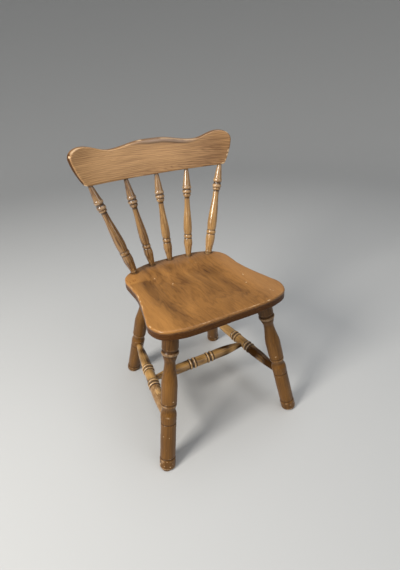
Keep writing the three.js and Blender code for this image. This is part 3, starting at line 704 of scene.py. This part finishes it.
def spindle(axis, pattern, collar, seed):
    """A vase and a bead at the seat, a long swelling, and a neck, two rings and a cone at the top.

    It is duller and greyer near the top, partly weathered varnish and partly a painted grey
    highlight, and those on the chair's left are darker.
    """
    length = axis[2]
    bead = pattern["bead_place"] - RING_HALF
    lower, upper = length - pattern["lower_ring"], length - pattern["upper_ring"]
    turning = Turning(-SPINDLE_SEAT_DEPTH, pattern["seat"]).line(COLLAR_PLACE, pattern["seat"])
    if collar:
        turning.bead(COLLAR_PLACE + COLLAR_WIDTH, pattern["seat"], pattern["seat"] + COLLAR_RISE)
    turning = (
        turning.line(pattern["shoulder_place"], pattern["shoulder"])
        .droop(bead - BEAD_STEP_WIDTH, pattern["groove"] + BEAD_STEP)
        .line(bead, pattern["groove"])
        .bead(bead + 2 * RING_HALF, pattern["groove"], pattern["bead"])
        .swell(pattern["swell_place"], pattern["swell"])
        .sweep(length - pattern["neck_place"], pattern["neck"])
        .swell(lower - RING_FLARE * RING_HALF, pattern["ring_groove"] + RING_STEP)
        .line(lower - RING_HALF, pattern["ring_groove"])
        .bead(lower + RING_HALF, pattern["ring_groove"], pattern["ring"])
        .line(upper - RING_HALF, pattern["ring_groove"])
        .bead(upper + RING_HALF, pattern["ring_groove"] + RING_STEP, pattern["ring"])
        .line(length, pattern["crest"])
        .line(length + SPINDLE_CREST_DEPTH, pattern["crest"])
    )
    grid, marks = turned_piece(axis, turning, SPINDLE_FACETS, seed)
    along = np.broadcast_to((marks["grain"][:, :1, 2] / MM), marks["soil_and_shade"].shape)
    along = along - along.min() - SPINDLE_SEAT_DEPTH
    # Darker at both ends: grime at the joints, and painted shade where it stands in the seat.
    ends = np.exp(-(((along - COLLAR_PLACE / 2) / 5) ** 2)) + np.exp(-(((along - length) / 4) ** 2))
    marks["soil_and_shade"] = np.clip(marks["soil_and_shade"] + 0.6 * ends, 0, 1)
    # Duller and greyer near the top: weathered varnish and a painted grey highlight.
    marks["dull_and_sheen"] = 0.28 * smoothstep(along, length + SPINDLE_DULL_AND_SHEEN[0], length + SPINDLE_DULL_AND_SHEEN[1])
    marks["stain_and_shading"] = marks["stain_and_shading"] + 0.3 - 0.55 * math.tanh(axis[0][0] / 80)
    return grid, marks


# Crest rail

def crest_point(x, h, t):
    """A point of the bent board: an arc about a vertical line, leaned back by h times the lean."""
    x, h = np.asarray(x, float), np.asarray(h, float)
    angle = np.arcsin(x / (CREST_BEND_RADIUS - CREST_THICKNESS / 2))
    radius = CREST_BEND_RADIUS + t
    y = CREST_MIDDLE_Y - CREST_BEND_RADIUS + radius * np.cos(angle) + h * math.sin(CREST_LEAN)
    z = CREST_BOTTOM + h * math.cos(CREST_LEAN)
    return np.stack([radius * np.sin(angle), y, z + 0 * y], -1)


def crest_bottom(x):
    return CREST_ARCH * (x / CREST_LOBE[0]) ** 2


def crest_top(x):
    """Upper edge from the middle to a lobe: half a cosine wave down to the dip and one up again."""
    def wave(start, end):
        t = np.clip((x - start[0]) / (end[0] - start[0]), 0, 1)
        return start[1] + (end[1] - start[1]) * (1 - np.cos(np.pi * t)) / 2
    return np.where(x < CREST_DIP[0], wave(CREST_HUMP, CREST_DIP), wave(CREST_DIP, CREST_LOBE))


def bezier(points, steps):
    """A Bezier curve of any order, without its last point: the points weighted by Bernstein terms."""
    t = np.linspace(0, 1, steps, endpoint=False)[:, None]
    order = len(points) - 1
    weights = [math.comb(order, k) * t**k * (1 - t) ** (order - k) for k in range(order + 1)]
    return sum(weight * np.array(point) for weight, point in zip(weights, points))


def crest_outline():
    """The board's outline, once round: lower edge, right end, upper edge and left end."""
    along = np.linspace(0, CREST_LOBE[0], round(CREST_LOBE[0] / CREST_STEP), endpoint=False)
    lower = np.stack([along, crest_bottom(along)], -1)
    halfway = (np.array(CREST_CORNER) + CREST_END) / 2
    slant = halfway + (CREST_END_BOW, 0)
    corner = (CREST_CORNER[0] - CREST_CORNER_ROUND, CREST_ARCH)
    shoulder = (CREST_LOBE_REACH, CREST_LOBE[1])
    curves = (
        [(CREST_LOBE[0], CREST_ARCH), corner, CREST_CORNER],
        [CREST_CORNER, slant, CREST_END],
        [CREST_END, CREST_SHOULDER, shoulder, CREST_LOBE],
    )
    end = np.concatenate([*map(bezier, curves, CREST_END_SAMPLES), [CREST_LOBE]])
    upper = np.stack([along, crest_top(along)], -1)[::-1]
    right = np.concatenate([lower, end, upper])
    left = right[-2:0:-1] * (-1, 1)
    return np.concatenate([right, left])


CREST_CHIPS_AND_GLINTS = (  # on the front edge: middle, half width, half length and turn. Most mark a broken edge; those at (-244, 86), (-236, 97) and (232, 98) are painted highlights
    ((233, 43), 6.0, 4.5, 0), ((228, 32), 8.0, 3.2, 8), ((220, 17), 4.5, 3.0, 0),
    ((214, 8), 6.0, 4.0, 0), ((206, 4), 5.0, 2.2, 12), ((-244, 86), 1.8, 4.0, -8),
    ((-218, 7), 4.0, 2.8, -30), ((-236, 97), 4.0, 1.0, 45), ((232, 98), 7.0, 1.6, -38),
    ((-40, 98), 10.0, 1.0, 0),
)
CREST_FIGURE = (  # darker and lighter streaks on the front, given as on the seat
    (0.40, (60, 84), 60, 6, -5), (0.15, (205, 60), 40, 30, 8), (-0.40, (-120, 74), 55, 12, 6),
    (-0.30, (-90, 40), 110, 7, 2), (-0.20, (70, 56), 120, 5, 4), (0.40, (-210, 90), 26, 11, -10),
    (0.25, (160, 22), 90, 12, 4), (0.50, (190, 50), 75, 70, 0), (-0.55, (-165, 50), 70, 60, 0),
    (-0.30, (0, 60), 80, 50, 0), (-0.20, (-20, 62), 90, 6, 2), (0.15, (-60, 12), 120, 8, 2),
)


def crest_board():
    """Point (around, over): the outline moved in from the edge, at a depth through the board.

    Strips run from the middle line of the front out to its edge, over the quarter rounds and
    back to the middle line behind. The front edge of the hump is rubbed into a wider round. The
    sawn ends show end grain, which is dark.
    """
    outline = crest_outline()
    x, h = outline[:, 0], outline[:, 1]
    half = CREST_THICKNESS / 2
    spine = np.stack([np.clip(x, -CREST_LOBE[0], CREST_LOBE[0]), np.full_like(x, CREST_SPINE_H)], -1)
    towards = spine - outline
    reach = np.linalg.norm(towards, axis=1)
    towards = towards / reach[:, None]
    rubbed = np.exp(-(((x - CREST_WORN_MIDDLE) / CREST_WORN_HALF) ** 4)) * (h > CREST_SPINE_H)
    front_round = CREST_ROUND + CREST_WORN_ROUND * rubbed
    back_round = np.full_like(x, CREST_ROUND)
    face = np.linspace(0, 1, CREST_FACE_ROWS, endpoint=False)[:, None]
    turn = np.radians(np.linspace(0, 90, CREST_ROUND_ROWS))[:, None]
    edge = np.linspace(0, 1, CREST_SIDE_ROWS + 2)[1:-1, None]
    inset = np.concatenate([
        reach + (front_round - reach) * face,
        front_round * (1 - np.sin(turn)),
        0 * x * edge,
        back_round * (1 - np.sin(turn[::-1])),
        (reach + (back_round - reach) * face)[::-1],
    ])
    t = np.concatenate([
        -half + 0 * x * face,
        -half + front_round * (1 - np.cos(turn)),
        (-half + front_round) * (1 - edge) + (half - back_round) * edge,
        half - back_round * (1 - np.cos(turn[::-1])),
        half + 0 * x * face,
    ])
    board = outline + inset[..., None] * towards
    px, ph = board[..., 0], board[..., 1]
    front = t < 0
    near_edge = np.exp(-((inset / 3.2) ** 2)) * smoothstep(-t, 0, 5)
    # Broken edges, and painted highlights along the edge.
    chips_and_glints = marks_total(px, ph, CREST_CHIPS_AND_GLINTS) * front * np.exp(-((inset / 6.5) ** 2))
    grid = crest_point(px, ph, t + CHIP_DEPTH * np.minimum(chips_and_glints, 1))
    grid = grid + (0.3 * ripple(grid, 150, 7) * (inset > CREST_ROUND))[..., None] * (0, 1, 0)
    lens = np.broadcast_to(rubbed, px.shape) * front
    # A dark line along the lower edge of the rubbed round: painted shade.
    line = np.exp(-(((inset - front_round) / 2.0) ** 2)) * lens
    end_grain = smoothstep(np.abs(x), *END_GRAIN_X) * (1 - smoothstep(h, *END_GRAIN_H))
    facing_edge = smoothstep(t, -half + 1.2, -half + 4) * (1 - smoothstep(t, half - 4, half - 1.2))
    figure = sum(depth * spot(px, ph, *shape) for depth, *shape in CREST_FIGURE) * front
    rolled = lens * np.exp(-((inset / 7) ** 2))
    marks = dict(
        grain=np.stack([t, ph - 0.03 * px + 1.5 * np.sin(px / 95), px], -1) * MM + (0.4, 0.13, 0.7),
        worn=np.clip(near_edge * (0.4 + 0.5 * ripple(grid, 60, 8)) + 0.2 * rolled, 0, 1),
        soil_and_shade=np.clip(0.8 * line + 0.1 * rolled + 0.55 * facing_edge * end_grain, 0, 1),
        stain_and_shading=np.clip(figure, -0.6, 0.8) + facing_edge * (0.8 + 0.7 * end_grain),
        chip_and_glint=np.clip(1.55 * chips_and_glints, 0, 1),
        dull_and_sheen=0.75 * lens * (inset < front_round) * (1 - near_edge),
    )
    return grid, marks


# Finishes

class Finish:
    """A material that grows node by node."""

    def __init__(self, name):
        self.material = bpy.data.materials.new(name)
        self.material.use_nodes = True
        self.tree = self.material.node_tree
        self.surface = self.tree.nodes["Principled BSDF"]

    def node(self, kind, **settings):
        made = self.tree.nodes.new(kind)
        for key, value in settings.items():
            setattr(made, key, value)
        return made

    def put(self, socket, value):
        if isinstance(value, bpy.types.NodeSocket):
            self.tree.links.new(value, socket)
        else:
            socket.default_value = value

    def math(self, operation, *values, clamp=False):
        made = self.node("ShaderNodeMath", operation=operation, use_clamp=clamp)
        for socket, value in zip(made.inputs, values):
            self.put(socket, value)
        return made.outputs[0]

    def mark(self, name):
        return self.node("ShaderNodeAttribute", attribute_name=name).outputs["Fac"]

    def grain(self, across, along):
        """The piece's own grain coordinates, squeezed along the grain."""
        attribute = self.node("ShaderNodeAttribute", attribute_name="grain")
        mapping = self.node("ShaderNodeMapping", vector_type="POINT")
        self.put(mapping.inputs["Vector"], attribute.outputs["Vector"])
        mapping.inputs["Scale"].default_value = (across, across, along)
        return mapping.outputs["Vector"]

    def noise(self, vector, scale, detail=3.0, roughness=0.55, distortion=0.0):
        made = self.node("ShaderNodeTexNoise")
        self.put(made.inputs["Vector"], vector)
        made.inputs["Scale"].default_value = scale
        made.inputs["Detail"].default_value = detail
        made.inputs["Roughness"].default_value = roughness
        made.inputs["Distortion"].default_value = distortion
        return made.outputs["Fac"]

    def ramp(self, value, stops):
        made = self.node("ShaderNodeValToRGB")
        self.put(made.inputs["Fac"], value)
        elements = made.color_ramp.elements
        for place, colour in stops[2:]:
            elements.new(place)
        for element, (place, colour) in zip(elements, stops):
            element.position = place
            element.color = (*colour, 1)
        return made.outputs["Color"]

    def mix(self, share, first, second):
        made = self.node("ShaderNodeMix", data_type="RGBA")
        self.put(made.inputs["Factor"], share)
        for socket, value in ((made.inputs[6], first), (made.inputs[7], second)):  # the colour ones
            self.put(socket, value if isinstance(value, bpy.types.NodeSocket) else (*value, 1))
        return made.outputs[2]

    def step(self, value, low, high):
        """The smoothstep of a value."""
        made = self.node("ShaderNodeMapRange", interpolation_type="SMOOTHSTEP")
        self.put(made.inputs["Value"], value)
        made.inputs["From Min"].default_value = low
        made.inputs["From Max"].default_value = high
        return made.outputs["Result"]


# Bare wood, and the pale of painted highlights and light.
BARE_WOOD_AND_HIGHLIGHT = (0.60, 0.41, 0.235)
# Near-black grime, and painted shade.
GRIME_AND_SHADE_COLOUR = (0.024, 0.011, 0.005)
WEATHERED_AND_SHEEN_GREY = (0.185, 0.130, 0.098)  # where the varnish has lost its gloss, and the grey of a painted sky reflection
COAT_ROUGHNESS = 0.19
BUMP_STRENGTH = 0.35
BUMP_DISTANCE = 0.0006  # in metres, as all sizes inside a finish are


def varnished_wood(
    name, pale, middle, dark, layers, ring=0.007, pith=(0.09, 0.05), bend=0.035, fineness=260,
    coat=0.25, rough=0.38, dirt_and_shade_amount=0.9, specular=0.3,
):
    """Stained wood under worn clear varnish.

    Growth rings are a wave of the distance from a pith line beside the piece, bent by a slow
    noise. Streaks and fibres are noises drawn out along the grain. layers says how strong the
    rings, the slow noise, the streaks and the fibres are. Staining darkens where it sank in, and
    end grain that drank the varnish too has lost its gloss; the same darkening also paints shade,
    and below zero it paints light. Edges are rubbed to a paler tone, which also paints highlights
    and light. Grooves hold grime, whose dark also paints shade, and bare wood shows where the
    varnish is broken off, which also paints highlights on the crest rail's edge.
    """
    finish = Finish(name)
    surface = finish.surface
    slow = finish.noise(finish.grain(1.0, 0.16), 30, 3, 0.5, 0.6)
    streak = finish.noise(finish.grain(1.0, 0.024), fineness, 4, 0.62)
    fibre = finish.noise(finish.grain(1.0, 0.018), 640, 3, 0.6)
    pore = finish.noise(finish.grain(1.0, 0.04), 1500, 2, 0.5)

    split = finish.node("ShaderNodeSeparateXYZ")
    finish.put(split.inputs[0], finish.grain(1.0, 0.05))
    from_pith = [finish.math("ADD", split.outputs[k], pith[k]) for k in range(2)]
    square = finish.math("ADD", *[finish.math("MULTIPLY", part, part) for part in from_pith])
    bent = finish.math("MULTIPLY_ADD", slow, bend, finish.math("SQRT", square))
    bent = finish.math("ADD", bent, split.outputs[2])
    wave = finish.math("SINE", finish.math("MULTIPLY", bent, 2 * math.pi / ring))
    late = finish.math("POWER", finish.math("MULTIPLY_ADD", wave, 0.5, 0.5), 3)
    rings = finish.math("SUBTRACT", 0.81, late)

    # Staining, and painted shade, and on the left stretcher painted light.
    stain_and_shading = finish.mark("stain_and_shading")
    soaked_and_shaded = finish.math("MULTIPLY", stain_and_shading, finish.math("MULTIPLY_ADD", late, 0.08, 0.28))
    tone = finish.math("SUBTRACT", 0.5, soaked_and_shaded)
    for layer, strength in zip((rings, slow, streak, fibre), layers):
        centred = finish.math("SUBTRACT", layer, 0.5)
        tone = finish.math("MULTIPLY_ADD", centred, strength, tone)
    colour = finish.ramp(tone, [(0.16, dark), (0.84, pale), (0.50, middle)])

    # Grey where the varnish has lost its gloss, and painted sky reflection on the seat and the spindle
    # tops.
    colour = finish.mix(finish.mark("dull_and_sheen"), colour, WEATHERED_AND_SHEEN_GREY)
    pores = finish.step(pore, 0.62, 0.75)
    colour = finish.mix(finish.math("MULTIPLY", pores, 0.25), colour, dark)
    broken = finish.noise(finish.grain(1.0, 0.5), 160, 4, 0.65)
    # Rubbed pale edges; on the seat rim and the left stretcher this also paints highlights and light.
    rubbed = finish.step(finish.math("ADD", finish.mark("worn"), broken), 0.75, 1.35)
    colour = finish.mix(finish.math("MULTIPLY", rubbed, 0.60), colour, BARE_WOOD_AND_HIGHLIGHT)
    # Grime in grooves and joints, and painted shade.
    dirt_and_shade = finish.math("MULTIPLY", finish.mark("soil_and_shade"), dirt_and_shade_amount, clamp=True)
    colour = finish.mix(dirt_and_shade, colour, GRIME_AND_SHADE_COLOUR)
    # Bare wood where the varnish is broken, and painted highlights on the crest rail's edge.
    ragged = finish.math("MULTIPLY_ADD", broken, 0.5, finish.mark("chip_and_glint"))
    chipped_and_glinting = finish.step(ragged, 0.62, 0.85)
    colour = finish.mix(chipped_and_glinting, colour, BARE_WOOD_AND_HIGHLIGHT)
    finish.put(surface.inputs["Base Color"], colour)

    gloss = finish.math("MULTIPLY_ADD", broken, 0.16, rough - 0.08)
    gloss = finish.math("MULTIPLY_ADD", rubbed, 0.14, gloss)
    gloss = finish.math("MULTIPLY_ADD", finish.math("MAXIMUM", chipped_and_glinting, dirt_and_shade), 0.3, gloss, clamp=True)
    finish.put(surface.inputs["Roughness"], gloss)
    filled = finish.math("SUBTRACT", 1.0, finish.step(stain_and_shading, 0.9, 1.3))
    finish.put(surface.inputs["Coat Weight"], finish.math("MULTIPLY", filled, coat))
    surface.inputs["Coat Roughness"].default_value = COAT_ROUGHNESS
    shine = finish.math("MULTIPLY_ADD", filled, 0.8 * specular, 0.2 * specular)
    finish.put(surface.inputs["Specular IOR Level"], shine)

    relief = finish.math("MULTIPLY_ADD", fibre, 0.5, finish.math("MULTIPLY", streak, 0.5))
    relief = finish.math("SUBTRACT", relief, finish.math("MULTIPLY", chipped_and_glinting, 0.6))
    bump = finish.node("ShaderNodeBump")
    bump.inputs["Strength"].default_value = BUMP_STRENGTH
    bump.inputs["Distance"].default_value = BUMP_DISTANCE
    finish.put(bump.inputs["Height"], relief)
    finish.put(surface.inputs["Normal"], bump.outputs["Normal"])
    return finish.material


def floor_finish():
    finish = Finish("pale_floor")
    finish.surface.inputs["Base Color"].default_value = FLOOR_COLOUR
    finish.surface.inputs["Roughness"].default_value = 0.9
    return finish.material


# Stage

def add_camera():
    """The camera of the photo: yaw and pitch give its direction, and roll turns it about that."""
    yaw, pitch, roll = (math.radians(angle) for angle in (CAMERA_YAW, CAMERA_PITCH, CAMERA_ROLL))
    flat = np.array([math.sin(yaw), math.cos(yaw), 0]) * math.cos(pitch)
    ahead = flat + (0, 0, math.sin(pitch))
    level = unit(np.cross(ahead, (0, 0, 1)))
    above = np.cross(level, ahead)
    right = level * math.cos(roll) + above * math.sin(roll)
    up = above * math.cos(roll) - level * math.sin(roll)
    data = bpy.data.cameras.new("photo_camera")
    long_side = max(PHOTO_SIZE)
    data.sensor_width = SENSOR
    data.lens = FOCAL_PIXELS / long_side * SENSOR
    data.shift_x = (PHOTO_SIZE[0] / 2 - PHOTO_CENTRE[0]) / long_side
    data.shift_y = (PHOTO_CENTRE[1] - PHOTO_SIZE[1] / 2) / long_side
    data.clip_start = 0.01
    camera = bpy.data.objects.new("photo_camera", data)
    place = np.array(CAMERA_PLACE) + (0, SHIFT_Y, 0)
    turn = Matrix([right, up, -ahead]).transposed().to_4x4()
    camera.matrix_world = Matrix.Translation(Vector(place * MM)) @ turn
    bpy.context.scene.collection.objects.link(camera)
    bpy.context.scene.camera = camera


def add_softbox(name, place, aim, size, power, colour):
    data = bpy.data.lights.new(name, "AREA")
    data.shape = "RECTANGLE"
    data.size, data.size_y = size
    data.energy = power
    data.color = colour
    light = bpy.data.objects.new(name, data)
    turn = (Vector(aim) - Vector(place)).to_track_quat("-Z", "Y")
    light.matrix_world = Matrix.Translation(place) @ turn.to_matrix().to_4x4()
    bpy.context.scene.collection.objects.link(light)


def add_floor():
    """A pale floor that sweeps up far away: z = rise * smoothstep(r), r away from the chair."""
    reach = np.concatenate([[0.0], np.geomspace(0.5, FLOOR_REACH, FLOOR_RINGS)])[:, None]
    angle = np.linspace(0, 2 * np.pi, FLOOR_FACETS, endpoint=False)
    height = FLOOR_RISE * smoothstep(reach, FLOOR_FLAT, FLOOR_REACH) + 0 * angle
    points = np.stack([reach * np.cos(angle), reach * np.sin(angle), height], -1)
    a, b, c, d = cells(np.arange(height.size).reshape(height.shape))
    faces = np.stack([a, d, c, b], -1).reshape(-1, 4)
    mesh = bpy.data.meshes.new("floor")
    mesh.from_pydata(points.reshape(-1, 3).tolist(), [], faces.tolist())
    mesh.polygons.foreach_set("use_smooth", np.ones(len(faces), bool))
    mesh.materials.append(floor_finish())
    floor = bpy.data.objects.new("floor", mesh)
    bpy.context.scene.collection.objects.link(floor)


def add_light():
    """Plain soft studio light: an even sky and the softboxes."""
    world = bpy.data.worlds.new("studio")
    world.use_nodes = True
    background = world.node_tree.nodes["Background"]
    background.inputs["Color"].default_value = SKY_COLOUR
    background.inputs["Strength"].default_value = SKY_STRENGTH
    bpy.context.scene.world = world
    for softbox in SOFTBOXES:
        add_softbox(*softbox)
    bpy.context.scene.view_settings.view_transform = "Standard"


# Assembly

HANDS = (("left", -1), ("right", 1))
LEG_ROWS = (("front", FRONT_SOCKET, FRONT_FOOT, 0.15), ("rear", REAR_SOCKET, REAR_FOOT, 0.0))
SPINDLE_KINDS = (("end_post", END_POST_PLACE, POST), ("spindle", INNER_SPINDLE_PLACE, SPINDLE))
FIRST_SEED = 10  # every turned piece takes the next one, so that no two wear alike


def add_legs(finish, seeds):
    """Adds the four legs, and returns their axes by row and hand."""
    axes = {}
    for row, socket, foot, tone in LEG_ROWS:
        for hand, side in HANDS:
            axis = leg_axis(side, socket, foot)
            axes[row, hand] = axis
            node = f"{row}_leg_{hand}"
            add_piece(f"turned_{node}", node, "legs", finish, *leg(axis, next(seeds), tone))
    return axes


def add_stretchers(finish, seeds, leg_axes):
    """Adds the side stretchers between the legs, and the cross stretcher between those two."""
    cross_ends = []
    for hand, _ in HANDS:
        rear, front = (at_height(leg_axes[row, hand], STRETCHER_HEIGHT) for row in ("rear", "front"))
        node = f"side_stretcher_{hand}"
        shape = side_light_and_tone(*stretcher(axis_between(rear, front), SIDE_STRETCHER, next(seeds)), hand)
        add_piece(f"turned_{node}", node, "stretchers", finish, *shape)
        cross_ends.append(rear + (front - rear) * CROSS_PLACE)
    grid, marks = stretcher(axis_between(*cross_ends), CROSS_STRETCHER, next(seeds))
    marks["stain_and_shading"] = marks["stain_and_shading"] + 0.15 + 0.35 * smoothstep(grid[..., 0], 0, 60)
    add_piece("turned_cross_stretcher", "cross_stretcher", "stretchers", finish, grid, marks)


def add_spindles(finish, seeds):
    """Adds the end posts and the inner spindles on both sides, and the middle spindle."""
    for hand, side in HANDS:
        for kind, place, pattern in SPINDLE_KINDS:
            node = f"{kind}_{hand}"
            shape = spindle(spindle_axis(side, place), pattern, pattern is POST, next(seeds))
            add_piece(f"turned_{node}", node, "spindles", finish, *shape)
    shape = spindle(spindle_axis(1, MIDDLE_SPINDLE_PLACE), SPINDLE, False, next(seeds))
    add_piece("turned_spindle_middle", "spindle_middle", "spindles", finish, *shape)


SHIFT_Y = drawing_shift()
add_camera()
add_floor()
add_light()

seat_wood = varnished_wood(
    "seat_wood", (0.41, 0.188, 0.048), (0.205, 0.078, 0.016), (0.065, 0.022, 0.004),
    layers=(0.11, 0.18, 0.22, 0.38), ring=0.0065, pith=(0.021, 0.103), coat=0.2, specular=0.2,
)
crest_wood = varnished_wood(
    "crest_wood", (0.56, 0.32, 0.137), (0.36, 0.177, 0.065), (0.12, 0.052, 0.017),
    layers=(0.20, 0.06, 0.38, 0.75), ring=0.0028, pith=(0.05, 0.16), bend=0.012, fineness=560,
    specular=0.25,
)
spindle_wood = varnished_wood(
    "spindle_wood", (0.60, 0.345, 0.125), (0.35, 0.170, 0.052), (0.08, 0.032, 0.008),
    layers=(0.10, 0.40, 0.75, 0.50), coat=1.0, rough=0.26,
)
leg_wood = varnished_wood(
    "leg_wood", (0.26, 0.115, 0.022), (0.125, 0.051, 0.007), (0.045, 0.016, 0.002),
    layers=(0.06, 0.45, 0.32, 0.45), coat=0.12, dirt_and_shade_amount=0.55, specular=0.2,
)
stretcher_wood = varnished_wood(
    "stretcher_wood", (0.64, 0.365, 0.122), (0.20, 0.092, 0.020), (0.050, 0.020, 0.004),
    layers=(0.05, 0.80, 0.50, 0.40), coat=0.4, rough=0.32,
)

add_piece("seat_board", "seat", "seat", seat_wood, *seat_board())
add_piece("crest_board", "crest_rail", "crest_rail", crest_wood, *crest_board())
turned_seeds = itertools.count(FIRST_SEED)
add_stretchers(stretcher_wood, turned_seeds, add_legs(leg_wood, turned_seeds))
add_spindles(spindle_wood, turned_seeds)
